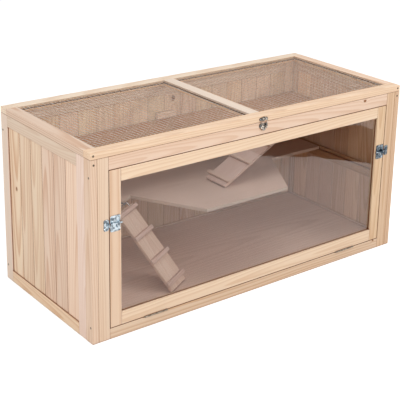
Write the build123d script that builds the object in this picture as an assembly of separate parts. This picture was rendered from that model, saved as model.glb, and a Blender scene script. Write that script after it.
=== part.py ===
from build123d import *
import os
from math import cos, radians, sin, tan

# Wooden hamster cage: millimetres, +Z up, front towards -Y, origin under the middle of the cage.

# Overall size of the timber case with its lid.
cage_length = 1150.0
cage_depth = 500.0
cage_height = 550.0

# Side and back panels: grooved frames round tongued boards.
panel_thickness = 20.0
side_stile_width = 38.0
side_rail_height = 35.0
corner_post_width = 34.0
back_stile_width = 37.0
back_rail_height = 35.0
edge_ease = 0.8
board_thickness = 10.0
board_recess = 4.0
board_groove_depth = 8.0
board_end_gap = 1.0
board_gap = 0.4
board_bevel = 1.6
tongue_length = 5.0
tongue_thickness = 3.0
timber_fit = 0.2
side_board_count = 6
back_board_count = 16

# Front frame that the door closes into.
front_stile_width = 35.0
front_top_rail_height = 37.0
front_bottom_rail_height = 32.0
door_stop_height = 26.0
door_stop_thickness = 9.0
door_stop_cover = 13.0

# Drop-down door with its clear pane.
door_gap = 2.0
door_thickness = 18.0
door_stile_width = 36.0
door_top_rail_height = 36.0
door_bottom_rail_height = 38.0
pane_thickness = 3.0
pane_groove_depth = 8.0
pane_edge_gap = 1.0

# Lid: rebated frame with a middle bar and two wire nets held by beads.
lid_thickness = 19.0
lid_seat_gap = 0.5
lid_rail_width = 35.0
lid_bar_width = 36.0
rebate_width = 10.0
rebate_height = 16.0
net_thickness = 1.0
net_wire = 2.0
net_columns = 9
net_rows = 8
bead_gap = 0.5

# Floor and its battens.
floor_top = 30.0
floor_thickness = 8.0
batten_width = 18.0
inside_gap = 1.0

# Two decks on rebated ledgers.
deck_thickness = 10.0
lower_deck_top = 257.0
upper_deck_top = 416.0
deck_strip_depth = 158.0
nose_reach = 227.0
nose_width = 316.0
nose_centre = 38.0
nose_angle = 60.0
ramp_landing_width = 160.0
ramp_landing_step = 7.0
upper_landing_width = 224.0
upper_landing_reach = 181.0
ledger_thickness = 20.0
ledger_height = 35.0
ledger_rebate = 10.0
ledger_lip = 1.0
ledger_front_gap = 30.0
stop_block_length = 70.0
stop_block_height = 20.0
stop_block_depth = 14.0

# Ramps that hang from the decks on a wire through two eyes.
ramp_width = 95.0
ramp_thickness = 9.0
lower_ramp_angle = 50.0
upper_ramp_angle = 28.2
upper_ramp_centre = -7.0
cleat_count = 4
cleat_length = 112.0
cleat_width = 12.0
cleat_height = 8.0
first_cleat = 10.0
last_cleat = 22.0
foot_gap = 0.4
ramp_axis_out = 12.0
ramp_axis_drop = 3.0
ramp_wire_radius = 1.6
ramp_wire_span = 64.0
ramp_wire_leg = 12.0
ramp_wire_grip = 18.0
eye_outer_radius = 3.6
eye_width = 6.0
eye_spacing = 40.0
eye_shank_width = 3.0
running_fit = 0.06
cut_over = 1.0

# Butt hinges of the door and of the lid.
hardware_proud = 7.0
hinge_length = 78.0
hinge_centre = 368.0
door_knuckle_radius = 1.9
door_knuckle_clear = 0.4
lid_knuckle_radius = 3.2
pin_radius = 0.9
leaf_thickness = 0.8
leaf_width = 17.0
knuckle_gap = 0.4

# Barrel bolts on the door stiles and their keepers.
bolt_height = 340.0
bolt_plate_width = 32.0
bolt_plate_height = 46.0
hardware_sheet = 1.0
bolt_radius = 2.2
bolt_length = 36.0
strap_width = 4.0
strap_height = 12.0
strap_inset = 4.0
keeper_width = 16.0
keeper_height = 32.0
keeper_offset = 1.0
keeper_strap_inset = 1.0
handle_clear = 0.7
plate_inset = 1.0
bolt_handle_radius = 1.8
bolt_handle_drop = 13.0
plate_corner = 3.0

# Toggle clasp between the front rail and the lid.
clasp_centre = 5.0
clasp_pivot_drop = 12.5
clasp_plate_width = 31.0
clasp_plate_low = 5.0
clasp_plate_high = 9.0
clasp_tail_width = 15.0
clasp_tail_low = 11.0
clasp_ear_span = 16.0
clasp_ear_thickness = 2.0
clasp_ear_radius = 3.0
clasp_pivot_radius = 1.1
clasp_pivot_out = 3.6
clasp_lever_width = 11.0
clasp_lever_length = 12.0
clasp_lever_thickness = 1.6
clasp_loop_drop = 5.0
clasp_loop_wire = 0.9
clasp_loop_span = 21.0
clasp_loop_height = 29.0
clasp_eye_wall = 0.9
clasp_eye_width = 2.4
strike_width = 31.0
strike_height = 13.0
strike_rise = 2.0
strike_ear_height = 9.0
strike_lip_width = 14.0
strike_lip_depth = 3.2
strike_lip_height = 3.0

# Faces that several pieces share.
left = -cage_length / 2
front = -cage_depth / 2
back = cage_depth / 2
left_inner = left + panel_thickness
front_inner = front + panel_thickness
back_inner = back - panel_thickness
lid_bottom = cage_height - lid_thickness
case_top = lid_bottom - lid_seat_gap
board_outer = board_recess
board_inner = board_recess + board_thickness
housed = board_groove_depth - board_end_gap


def block(x, y, z):
    """A box between a low and a high value on each axis."""
    size = [high - low for low, high in (x, y, z)]
    return Pos(x[0], y[0], z[0]) * Box(*size, align=(Align.MIN, Align.MIN, Align.MIN))


def timber(x, y, z):
    """A planed bar or panel with its edges eased."""
    bar = block(x, y, z)
    return chamfer(bar.edges(), edge_ease)


def rod(start, end, radius):
    """A round bar from one point to another."""
    line = Vector(*end) - Vector(*start)
    plane = Plane(origin=start, z_dir=line)
    return plane * Cylinder(radius, line.length, align=(Align.CENTER, Align.CENTER, Align.MIN))


def mirrored(shape):
    """The same piece on the other side of the cage."""
    return mirror(shape, about=Plane.YZ)


def save(name, *solids):
    """One STEP file for a piece, or for a group of like pieces."""
    shape = solids[0] if len(solids) == 1 else Compound(list(solids))
    export_step(shape, f"parts/{name}.step")


def board(low, high, z_low, z_high, first, last):
    """An upright board with bevelled edges, a groove on its left and a tongue on its right."""
    outer, inner, middle = board_outer, board_inner, (board_outer + board_inner) / 2
    slot = tongue_thickness / 2 + timber_fit
    slot_depth = tongue_length + timber_fit
    half = tongue_thickness / 2
    if last:
        right_edge = [(high + housed, outer), (high + housed, inner)]
    else:
        right_edge = [
            (high - board_bevel, outer),
            (high, outer + board_bevel),
            (high, middle - half),
            (high + tongue_length, middle - half),
            (high + tongue_length, middle + half),
            (high, middle + half),
            (high, inner - board_bevel),
            (high - board_bevel, inner),
        ]
    if first:
        left_edge = [(low - housed, inner), (low - housed, outer)]
    else:
        left_edge = [
            (low + board_bevel, inner),
            (low, inner - board_bevel),
            (low, middle + slot),
            (low + slot_depth, middle + slot),
            (low + slot_depth, middle - slot),
            (low, middle - slot),
            (low, outer + board_bevel),
            (low + board_bevel, outer),
        ]
    profile = make_face(Polyline(*right_edge, *left_edge, close=True))
    return Pos(0, 0, z_low) * extrude(profile, amount=z_high - z_low, dir=(0, 0, 1))


def panel(width, stile, rail, count):
    """Frame and boards seen from outside: X along the panel, Y into the cage from the outer face."""
    half = width / 2
    opening = half - stile
    thick = (0, panel_thickness)
    slot = (board_outer - timber_fit, board_inner + timber_fit)
    left_stile = timber((-half, -opening), thick, (0, case_top))
    left_stile -= block((-opening - board_groove_depth, -opening), slot, (0, case_top))

    def cross_rail(z, groove_z):
        bar = timber((-opening, opening), thick, z)
        bar += block((-opening - housed, opening + housed), (board_outer, board_inner), z)
        return bar - block((-half, half), slot, groove_z)

    low, high = rail, case_top - rail
    bottom_rail = cross_rail((0, low), (low - board_groove_depth, low))
    top_rail = cross_rail((high, case_top), (high, high + board_groove_depth))
    pitch = 2 * opening / count
    boards = [
        board(
            -opening + i * pitch + (board_gap / 2 if i else 0),
            -opening + (i + 1) * pitch - (board_gap / 2 if i < count - 1 else 0),
            low - housed,
            high + housed,
            i == 0,
            i == count - 1,
        )
        for i in range(count)
    ]
    return left_stile, mirrored(left_stile), top_rail, bottom_rail, boards


def side_panel_place():
    """Stands a panel against the left end, behind the front corner post."""
    middle = (front + corner_post_width + back) / 2
    return Pos(left, middle, 0) * Rot(0, 0, -90)


def corner_post():
    return timber((left, left_inner), (front, front + corner_post_width), (0, case_top))


def front_stile():
    return timber((left_inner, left_inner + front_stile_width), (front, front_inner), (0, case_top))


door_half = -(left_inner + front_stile_width)


def front_top_rail():
    z = (case_top - front_top_rail_height, case_top)
    return timber((-door_half, door_half), (front, front_inner), z)


def front_bottom_rail():
    return timber((-door_half, door_half), (front, front_inner), (0, front_bottom_rail_height))


def door_stop():
    """A strip behind the top rail that the door closes against."""
    low = case_top - front_top_rail_height - door_stop_cover
    y = (front_inner, front_inner + door_stop_thickness)
    return timber((-door_half, door_half), y, (low, low + door_stop_height))


def floor_panel():
    edge = inside_gap
    x = left_inner + edge
    return block((x, -x), (front_inner + edge, back_inner - edge), (floor_top - floor_thickness, floor_top))


def floor_battens():
    """One batten on the front rail, one on the back rail and one across between them."""
    z = (0, floor_top - floor_thickness)
    x = left_inner + inside_gap
    front_batten = timber((x, -x), (front_inner, front_inner + batten_width), z)
    back_batten = timber((x, -x), (back_inner - batten_width, back_inner), z)
    cross_y = (front_inner + batten_width, back_inner - batten_width)
    cross = timber((-batten_width / 2, batten_width / 2), cross_y, z)
    return front_batten, back_batten, cross


door_left = -door_half + door_gap
door_low = front_bottom_rail_height + door_gap
door_high = case_top - front_top_rail_height - door_gap
door_back = front + door_thickness
pane_front = front + (door_thickness - pane_thickness) / 2
pane_slot = (pane_front - timber_fit, pane_front + pane_thickness + timber_fit)
pane_housed = pane_groove_depth - pane_edge_gap


def door_stile():
    x = (door_left, door_left + door_stile_width)
    stile = timber(x, (front, door_back), (door_low, door_high))
    return stile - block((x[1] - pane_groove_depth, x[1]), pane_slot, (door_low, door_high))


def door_rail(z, groove_z):
    """A rail between the door stiles, with stub tenons in their grooves."""
    x = door_left + door_stile_width
    tenon = x - pane_housed
    bar = timber((x, -x), (front, door_back), z)
    bar += block((tenon, -tenon), (pane_front, pane_front + pane_thickness), z)
    return bar - block((door_left, -door_left), pane_slot, groove_z)


def door_top_rail():
    low = door_high - door_top_rail_height
    return door_rail((low, door_high), (low, low + pane_groove_depth))


def door_bottom_rail():
    high = door_low + door_bottom_rail_height
    return door_rail((door_low, high), (high - pane_groove_depth, high))


def door_pane():
    x = door_left + door_stile_width - pane_housed
    low = door_low + door_bottom_rail_height - pane_housed
    high = door_high - door_top_rail_height + pane_housed
    return block((x, -x), (pane_front, pane_front + pane_thickness), (low, high))


lid_side = left + lid_rail_width
lid_front = front + lid_rail_width
rebate_top = lid_bottom + rebate_height
rebate_z = (lid_bottom, rebate_top)
net_left = lid_side - rebate_width
net_right = -lid_bar_width / 2 + rebate_width
net_front = lid_front - rebate_width


def lid_long_rail():
    """The front rail of the lid, rebated underneath along the nets."""
    rail = timber((left, -left), (front, lid_front), (lid_bottom, cage_height))
    return rail - block((net_left, -net_left), (net_front, lid_front), rebate_z)


def lid_end_rail():
    rail = timber((left, lid_side), (lid_front, -lid_front), (lid_bottom, cage_height))
    return rail - block((net_left, lid_side), (lid_front, -lid_front), rebate_z)


def lid_bar():
    x = lid_bar_width / 2
    bar = timber((-x, x), (lid_front, -lid_front), (lid_bottom, cage_height))
    rebate = block((-x, net_right), (lid_front, -lid_front), rebate_z)
    return bar - rebate - mirrored(rebate)


def lid_net():
    """The left net as one flat face with a grid of square gaps."""
    x_low, x_high = net_left + bead_gap, net_right - bead_gap
    y_low = net_front + bead_gap
    across = (x_high - x_low - net_wire) / net_columns
    deep = (-2 * y_low - net_wire) / net_rows

    def outline(x, y, width, height):
        return Wire.make_polygon([(x, y), (x + width, y), (x + width, y + height), (x, y + height)])

    gaps = [
        outline(
            x_low + net_wire + i * across,
            y_low + net_wire + j * deep,
            across - net_wire,
            deep - net_wire,
        )
        for i in range(net_columns)
        for j in range(net_rows)
    ]
    sheet = Face(outline(x_low, y_low, x_high - x_low, -2 * y_low), gaps)
    return Pos(0, 0, rebate_top - net_thickness) * extrude(sheet, amount=net_thickness, dir=(0, 0, 1))


def lid_beads():
    """Four strips that hold the left net up in its rebate."""
    x_low, x_high = net_left + bead_gap, net_right - bead_gap
    y_low = net_front + bead_gap
    wide = rebate_width - 2 * bead_gap
    z = (lid_bottom + bead_gap, rebate_top - net_thickness)
    long_bead = timber((x_low, x_high), (y_low, y_low + wide), z)
    end_y = (y_low + wide, -y_low - wide)
    outer = timber((x_low, x_low + wide), end_y, z)
    inner = timber((x_high - wide, x_high), end_y, z)
    return long_bead, mirror(long_bead, about=Plane.XZ), outer, inner


deck_end = left_inner + ledger_thickness - ledger_rebate + inside_gap / 2
deck_back = back_inner - inside_gap
strip_front = deck_back - deck_strip_depth
nose_front = strip_front - nose_reach
slant_run = nose_reach / tan(radians(nose_angle))
nose_left = nose_centre - nose_width / 2
nose_right = nose_centre + nose_width / 2
landing_y = strip_front - ramp_landing_step
landing_right = (nose_left - (landing_y - nose_front) / tan(radians(nose_angle)), landing_y)
along_edge = Vector(sin(radians(nose_angle)), cos(radians(nose_angle)), 0)
downhill = Vector(cos(radians(nose_angle)), -sin(radians(nose_angle)), 0)


def slab(points, top):
    face = make_face(Polyline(*points, close=True))
    return Pos(0, 0, top - deck_thickness) * extrude(face, amount=deck_thickness, dir=(0, 0, 1))


def lower_deck():
    """A strip along the back wall, a slanted nose and an angled landing for the ramp."""
    corner = Vector(*landing_right, 0)
    tip = corner - along_edge * ramp_landing_width
    rise = (strip_front - tip.Y) / sin(radians(nose_angle))
    root = tip - downhill * rise
    points = [
        (deck_end, deck_back),
        (deck_end, strip_front),
        (root.X, root.Y),
        (tip.X, tip.Y),
        landing_right,
        (nose_left, nose_front),
        (nose_right, nose_front),
        (nose_right + slant_run, strip_front),
        (-deck_end, strip_front),
        (-deck_end, deck_back),
    ]
    return slab(points, lower_deck_top)


upper_landing_left = -deck_end - upper_landing_width


def upper_deck():
    """A strip along the back wall with a landing at the right end."""
    points = [
        (deck_end, deck_back),
        (deck_end, strip_front),
        (upper_landing_left, strip_front),
        (upper_landing_left, strip_front - upper_landing_reach),
        (-deck_end, strip_front - upper_landing_reach),
        (-deck_end, deck_back),
    ]
    return slab(points, upper_deck_top)


def ledger(deck_top, length):
    """A rebated batten on the left end panel that carries the end of a deck."""
    high = deck_top + ledger_lip
    x = left_inner + ledger_thickness
    y = (back_inner - length, back_inner)
    batten = timber((left_inner, x), y, (high - ledger_height, high))
    return batten - block((x - ledger_rebate, x), y, (deck_top - deck_thickness, high))


def deck_stop_block():
    """A small block on the back boards that keeps the upper deck down."""
    boards_face = back - board_inner
    half = stop_block_length / 2
    y = (boards_face - stop_block_depth, boards_face)
    return timber((-half, half), y, (upper_deck_top, upper_deck_top + stop_block_height))


def ramp_length(drop, slope):
    """How far down the slope the plank's lower corner meets the surface below."""
    angle = radians(slope)
    return (drop - foot_gap - ramp_thickness / 2 * cos(angle)) / sin(angle)


def ramp_place(axis_point, heading, slope):
    """X runs down the ramp from its hook axis, Z stands square on the plank."""
    return Pos(*axis_point) * Rot(0, 0, heading) * Rot(0, slope, 0)


def ramp_plank(length):
    half = ramp_thickness / 2
    plank = timber((ramp_wire_leg, length), (-ramp_width / 2, ramp_width / 2), (-half, half))
    return plank - ramp_wire_holes()


def ramp_cleats(length):
    """Cleats across the plank, a little longer than it is wide."""
    start = ramp_wire_leg + first_cleat
    pitch = (length - last_cleat - start) / (cleat_count - 1)
    low = ramp_thickness / 2
    return [
        timber(
            (start + i * pitch - cleat_width / 2, start + i * pitch + cleat_width / 2),
            (-cleat_length / 2, cleat_length / 2),
            (low, low + cleat_height),
        )
        for i in range(cleat_count)
    ]


def ramp_wire_holes():
    """Blind holes in the plank's upper end for the two legs of the wire."""
    side = ramp_wire_span / 2
    end = ramp_wire_leg + ramp_wire_grip
    return [rod((0, y, 0), (end, y, 0), ramp_wire_radius) for y in (-side, side)]


def bent_wire(points, radius):
    """A round wire bent sharply at a few points."""
    path = Polyline(*points)
    section = Plane(origin=path @ 0, z_dir=path % 0) * Circle(radius)
    return sweep(section, path=path, transition=Transition.RIGHT)


def ramp_wire():
    """A wire staple: its bar is the ramp's axis and its legs go into the plank."""
    side = ramp_wire_span / 2
    end = ramp_wire_leg + ramp_wire_grip
    points = [(end, -side, 0), (0, -side, 0), (0, side, 0), (end, side, 0)]
    return bent_wire(points, ramp_wire_radius)


def ramp_eyes():
    """Two eyes on the deck's edge, in the frame of the ramp before it is sloped."""
    eyes = []
    for y in (-eye_spacing / 2, eye_spacing / 2):
        ring = rod((0, y - eye_width / 2, 0), (0, y + eye_width / 2, 0), eye_outer_radius)
        shank = (-eye_shank_width / 2, eye_shank_width / 2)
        ring += block((-ramp_axis_out, 0), (y + shank[0], y + shank[1]), shank)
        bore = ramp_wire_radius + running_fit
        eyes.append(ring - rod((0, y - eye_width, 0), (0, y + eye_width, 0), bore))
    return eyes


lower_corner = Vector(*landing_right, 0)
lower_axis = lower_corner - along_edge * (ramp_landing_width / 2) + downhill * ramp_axis_out
lower_axis_point = (lower_axis.X, lower_axis.Y, lower_deck_top - ramp_axis_drop)
lower_heading = -nose_angle
upper_axis_point = (
    upper_landing_left - ramp_axis_out,
    upper_ramp_centre,
    upper_deck_top - ramp_axis_drop,
)
upper_heading = 180


def save_ramp(name, axis_point, heading, slope, rest_height):
    place = ramp_place(axis_point, heading, slope)
    length = ramp_length(axis_point[2] - rest_height, slope)
    save(f"{name}_plank", place * ramp_plank(length))
    save(f"{name}_cleats", *[place * cleat for cleat in ramp_cleats(length)])
    save(f"{name}_wire", place * ramp_wire())


def placed_eyes(axis_point, heading):
    return [Pos(*axis_point) * Rot(0, 0, heading) * eye for eye in ramp_eyes()]


def hinge(radius, tongue_y, tongue_z, plate_y, plate_z):
    """A butt hinge on the X axis: fixed leaf, moving leaf as its reflection, and the pin."""
    half = hinge_length / 2
    inner = hinge_length / 6
    outer = inner + knuckle_gap

    def leaf(spans, bore):
        plate = block((-half, half), plate_y, plate_z)
        for low, high in spans:
            plate += block((low, high), tongue_y, tongue_z)
            plate += rod((low, 0, 0), (high, 0, 0), radius)
        return plate - rod((-half, 0, 0), (half, 0, 0), bore)

    fixed = leaf([(-half, -outer), (outer, half)], pin_radius)
    moving = mirror(leaf([(-inner, inner)], pin_radius + running_fit), about=Plane.XY)
    pin = rod((-half, 0, 0), (half, 0, 0), pin_radius)
    return fixed, moving, pin


door_axis_y = front - door_knuckle_radius - door_knuckle_clear
door_axis_z = front_bottom_rail_height + door_gap / 2
lid_axis_y = back + hardware_proud - lid_knuckle_radius
lid_axis_z = lid_bottom - lid_seat_gap / 2


def door_hinges():
    """The door's leaves lie in the gap under the door."""
    clear = door_knuckle_radius + knuckle_gap
    sheet = (-door_gap / 2, leaf_thickness - door_gap / 2)
    pieces = hinge(door_knuckle_radius, (0, clear), sheet, (clear, leaf_width), sheet)
    places = [Pos(x, door_axis_y, door_axis_z) for x in (-hinge_centre, hinge_centre)]
    return [[place * piece for place in places] for piece in pieces]


def lid_hinges():
    """The lid's leaves lie flat on the back of the case and of the lid."""
    clear = lid_knuckle_radius + knuckle_gap
    wall = back - lid_axis_y
    sheet = (wall, wall + leaf_thickness)
    pieces = hinge(lid_knuckle_radius, sheet, (-clear, 0), sheet, (-leaf_width, -clear))
    places = [Pos(x, lid_axis_y, lid_axis_z) for x in (-hinge_centre, hinge_centre)]
    return [[place * piece for place in places] for piece in pieces]


def stamped_plate(x, z):
    """A sheet plate on the front face with clipped corners."""
    plate = block(x, (front - hardware_sheet, front), z)
    return chamfer(plate.edges().filter_by(Axis.Y), plate_corner)


bolt_out = front - hardware_proud + bolt_radius + hardware_sheet
strap_outer = front - hardware_proud


def strap(x_low):
    """A pressed strap that the bolt slides through."""
    z = (bolt_height - strap_height / 2, bolt_height + strap_height / 2)
    body = block((x_low, x_low + strap_width), (strap_outer, front - hardware_sheet), z)
    bore = bolt_radius + running_fit
    start = (x_low - cut_over, bolt_out, bolt_height)
    end = (x_low + strap_width + cut_over, bolt_out, bolt_height)
    return body - rod(start, end, bore)


bolt_tip = door_left + plate_inset
inner_strap = bolt_tip + bolt_plate_width - strap_inset - strap_width


def bolt_plate():
    z = (bolt_height - bolt_plate_height / 2, bolt_height + bolt_plate_height / 2)
    plate = stamped_plate((bolt_tip, bolt_tip + bolt_plate_width), z)
    return plate + strap(bolt_tip + strap_inset) + strap(inner_strap)


def bolt_rod():
    """The sliding bolt, drawn back clear of its keeper, with its hanging handle."""
    inner_end = (bolt_tip + bolt_length, bolt_out, bolt_height)
    bolt = rod((bolt_tip, bolt_out, bolt_height), inner_end, bolt_radius)
    x = inner_strap - handle_clear - bolt_handle_radius
    handle_foot = (x, bolt_out, bolt_height - bolt_handle_drop)
    return bolt + rod((x, bolt_out, bolt_height), handle_foot, bolt_handle_radius)


def bolt_keeper():
    edge = -door_half - keeper_offset
    z = (bolt_height - keeper_height / 2, bolt_height + keeper_height / 2)
    plate = stamped_plate((edge - keeper_width, edge), z)
    return plate + strap(edge - keeper_strap_inset - strap_width)


clasp_pivot_y = front - clasp_pivot_out
clasp_pivot_height = case_top - clasp_pivot_drop


def clasp_span(width):
    """A width on the clasp's centre line, as a low and a high value."""
    return clasp_centre - width / 2, clasp_centre + width / 2


def clasp_base():
    """The plate on the front rail, with a tail and with two ears for the lever's pivot."""
    high = clasp_pivot_height + clasp_plate_high
    plate = stamped_plate(clasp_span(clasp_plate_width), (clasp_pivot_height - clasp_plate_low, high))
    plate += stamped_plate(clasp_span(clasp_tail_width), (clasp_pivot_height - clasp_tail_low, high))
    for side in (-1, 1):
        edge = clasp_centre + side * clasp_ear_span / 2
        span = sorted((edge, edge - side * clasp_ear_thickness))
        ear = rod(
            (span[0], clasp_pivot_y, clasp_pivot_height),
            (span[1], clasp_pivot_y, clasp_pivot_height),
            clasp_ear_radius,
        )
        web_z = (clasp_pivot_height - clasp_ear_radius, clasp_pivot_height + clasp_ear_radius)
        ear += block(span, (clasp_pivot_y, front), web_z)
        plate += ear
    bore = clasp_pivot_radius + running_fit
    end = clasp_ear_span / 2 + cut_over
    return plate - rod(
        (clasp_centre - end, clasp_pivot_y, clasp_pivot_height),
        (clasp_centre + end, clasp_pivot_y, clasp_pivot_height),
        bore,
    )


clasp_loop_height_low = clasp_pivot_height - clasp_loop_drop


def clasp_lever():
    """The lever hangs from its pivot and carries the loop's pivot pin below it."""
    pivot = clasp_span(clasp_ear_span)
    lever = rod(
        (pivot[0], clasp_pivot_y, clasp_pivot_height),
        (pivot[1], clasp_pivot_y, clasp_pivot_height),
        clasp_pivot_radius,
    )
    y = (clasp_pivot_y - clasp_lever_thickness / 2, clasp_pivot_y + clasp_lever_thickness / 2)
    z = (clasp_pivot_height - clasp_lever_length, clasp_pivot_height)
    lever += block(clasp_span(clasp_lever_width), y, z)
    pin = clasp_span(clasp_loop_span + clasp_eye_width)
    return lever + rod(
        (pin[0], clasp_pivot_y, clasp_loop_height_low),
        (pin[1], clasp_pivot_y, clasp_loop_height_low),
        clasp_loop_wire,
    )


def clasp_loop():
    """The wire loop: two eyes on the lever's pin, two arms and a bar in front of the strike."""
    low = clasp_loop_height_low
    high = low + clasp_loop_height
    first, last = clasp_span(clasp_loop_span)
    y = clasp_pivot_y
    bar_y = strap_outer + clasp_loop_wire
    points = [(first, y, low), (first, bar_y, high), (last, bar_y, high), (last, y, low)]
    loop = bent_wire(points, clasp_loop_wire)
    ring = clasp_loop_wire + running_fit + clasp_eye_wall
    for x in (first, last):
        loop += rod((x - clasp_eye_width / 2, y, low), (x + clasp_eye_width / 2, y, low), ring)
    end = clasp_loop_span / 2 + clasp_eye_width
    hole = rod((clasp_centre - end, y, low), (clasp_centre + end, y, low), clasp_loop_wire + running_fit)
    return loop - hole


def clasp_strike():
    """The catch on the lid: a plate with two screw ears and a lip that curls up."""
    low = lid_bottom + strike_rise
    middle = low + strike_height / 2
    x = clasp_span(strike_lip_width)
    plate = stamped_plate(x, (low, low + strike_height))
    ear_z = (middle - strike_ear_height / 2, middle + strike_ear_height / 2)
    plate += stamped_plate(clasp_span(strike_width), ear_z)
    foot = block(x, (front - strike_lip_depth, front), (middle - hardware_sheet, middle))
    y = (front - strike_lip_depth, front - strike_lip_depth + hardware_sheet)
    return plate + foot + block(x, y, (middle - hardware_sheet, middle + strike_lip_height))


os.makedirs("parts", exist_ok=True)

# Case: end panels, back panel, front frame, floor.
side_width = cage_depth - corner_post_width
stile_a, stile_b, top_rail, bottom_rail, boards = panel(
    side_width, side_stile_width, side_rail_height, side_board_count
)
place = side_panel_place()
for side, turn in (("left", lambda shape: shape), ("right", mirrored)):
    save(f"{side}_back_stile", turn(place * stile_a))
    save(f"{side}_front_stile", turn(place * stile_b))
    save(f"{side}_top_rail", turn(place * top_rail))
    save(f"{side}_bottom_rail", turn(place * bottom_rail))
    save(f"{side}_boards", *[turn(place * one) for one in boards])
    save(f"{side}_corner_post", turn(corner_post()))
    save(f"{side}_door_post", turn(front_stile()))
    save(f"{side}_bolt", turn(bolt_rod()))

stile_a, stile_b, top_rail, bottom_rail, boards = panel(
    2 * -left_inner, back_stile_width, back_rail_height, back_board_count
)
place = Pos(0, back, 0) * Rot(0, 0, 180)
save("back_left_stile", place * stile_b)
save("back_right_stile", place * stile_a)
save("back_top_rail", place * top_rail)
save("back_bottom_rail", place * bottom_rail)
save("back_boards", *[place * one for one in boards])

save("front_top_rail", front_top_rail())
save("front_bottom_rail", front_bottom_rail())
save("door_stop", door_stop())
save("floor_panel", floor_panel())
save("floor_battens", *floor_battens())

# Decks and ramps.
save("lower_deck", lower_deck())
save("upper_deck", upper_deck())
strip_length = deck_strip_depth + inside_gap
right_ledger_length = back_inner - front_inner - ledger_front_gap
landing_length = strip_length + upper_landing_reach
save(
    "deck_ledgers",
    ledger(lower_deck_top, strip_length),
    mirrored(ledger(lower_deck_top, right_ledger_length)),
    ledger(upper_deck_top, strip_length),
    mirrored(ledger(upper_deck_top, landing_length)),
)
save("deck_stop_block", deck_stop_block())
save_ramp("lower_ramp", lower_axis_point, lower_heading, lower_ramp_angle, floor_top)
save_ramp("upper_ramp", upper_axis_point, upper_heading, upper_ramp_angle, lower_deck_top)
save(
    "ramp_eyes",
    *placed_eyes(lower_axis_point, lower_heading),
    *placed_eyes(upper_axis_point, upper_heading),
)

# Lid.
save("lid_front_rail", lid_long_rail())
save("lid_back_rail", mirror(lid_long_rail(), about=Plane.XZ))
save("lid_left_rail", lid_end_rail())
save("lid_right_rail", mirrored(lid_end_rail()))
save("lid_middle_bar", lid_bar())
save("lid_left_net", lid_net())
save("lid_right_net", mirrored(lid_net()))
save("lid_net_beads", *lid_beads(), *[mirrored(bead) for bead in lid_beads()])

# Door.
save("door_left_stile", door_stile())
save("door_right_stile", mirrored(door_stile()))
save("door_top_rail", door_top_rail())
save("door_bottom_rail", door_bottom_rail())
save("door_pane", door_pane())

# Hinges, bolts and clasp.
door_fixed, door_moving, door_pins = door_hinges()
lid_fixed, lid_moving, lid_pins = lid_hinges()
save("hinge_fixed_leaves", *door_fixed, *lid_fixed)
save("hinge_pins", *door_pins, *lid_pins)
save("door_hinge_leaves", *door_moving)
save("lid_hinge_leaves", *lid_moving)
save("bolt_plates", bolt_plate(), mirrored(bolt_plate()))
save("bolt_keepers", bolt_keeper(), mirrored(bolt_keeper()))
save("clasp_base", clasp_base())
save("clasp_lever", clasp_lever())
save("clasp_loop", clasp_loop())
save("clasp_strike", clasp_strike())
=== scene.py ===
import math
import bmesh
import bpy
from mathutils import Matrix, Vector


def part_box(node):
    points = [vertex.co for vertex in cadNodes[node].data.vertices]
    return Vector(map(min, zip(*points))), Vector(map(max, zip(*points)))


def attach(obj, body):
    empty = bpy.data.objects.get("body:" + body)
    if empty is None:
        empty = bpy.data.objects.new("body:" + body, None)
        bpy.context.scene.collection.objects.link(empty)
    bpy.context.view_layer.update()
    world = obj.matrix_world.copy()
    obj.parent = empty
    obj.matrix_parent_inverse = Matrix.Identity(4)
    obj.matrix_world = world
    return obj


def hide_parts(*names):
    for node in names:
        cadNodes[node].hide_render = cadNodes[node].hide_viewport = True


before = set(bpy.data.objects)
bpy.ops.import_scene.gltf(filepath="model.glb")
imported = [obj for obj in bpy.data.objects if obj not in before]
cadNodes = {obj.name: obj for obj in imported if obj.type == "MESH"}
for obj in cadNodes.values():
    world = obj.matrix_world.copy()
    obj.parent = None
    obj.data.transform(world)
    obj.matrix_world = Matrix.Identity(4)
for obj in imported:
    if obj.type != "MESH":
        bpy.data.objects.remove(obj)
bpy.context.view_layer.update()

scene = bpy.context.scene
scene.view_settings.view_transform = "Standard"


# small helpers for node trees

def plug(tree, socket, value):
    if isinstance(value, bpy.types.NodeSocket):
        tree.links.new(value, socket)
    else:
        socket.default_value = value


def calc(tree, operation, *values):
    node = tree.nodes.new("ShaderNodeMath")
    node.operation = operation
    for socket, value in zip(node.inputs, values):
        plug(tree, socket, value)
    return node.outputs[0]


def vec(tree, operation, first, second):
    node = tree.nodes.new("ShaderNodeVectorMath")
    node.operation = operation
    plug(tree, node.inputs[0], first)
    plug(tree, node.inputs["Scale"] if operation == "SCALE" else node.inputs[1], second)
    return node.outputs["Value"] if operation == "LENGTH" else node.outputs["Vector"]


def split(tree, vector):
    node = tree.nodes.new("ShaderNodeSeparateXYZ")
    plug(tree, node.inputs[0], vector)
    return node.outputs[0], node.outputs[1], node.outputs[2]


def join(tree, x, y, z):
    node = tree.nodes.new("ShaderNodeCombineXYZ")
    for socket, value in zip(node.inputs, (x, y, z)):
        plug(tree, socket, value)
    return node.outputs[0]


def noise(tree, vector, detail=2.0):
    node = tree.nodes.new("ShaderNodeTexNoise")
    plug(tree, node.inputs["Vector"], vector)
    node.inputs["Scale"].default_value = 1.0
    node.inputs["Detail"].default_value = detail
    return node.outputs[0]


def spread(tree, value, low, high, newLow=0.0, newHigh=1.0, smooth=True):
    node = tree.nodes.new("ShaderNodeMapRange")
    node.interpolation_type = "SMOOTHSTEP" if smooth else "LINEAR"
    for socket, item in zip(node.inputs, (value, low, high, newLow, newHigh)):
        plug(tree, socket, item)
    return node.outputs[0]


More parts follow.
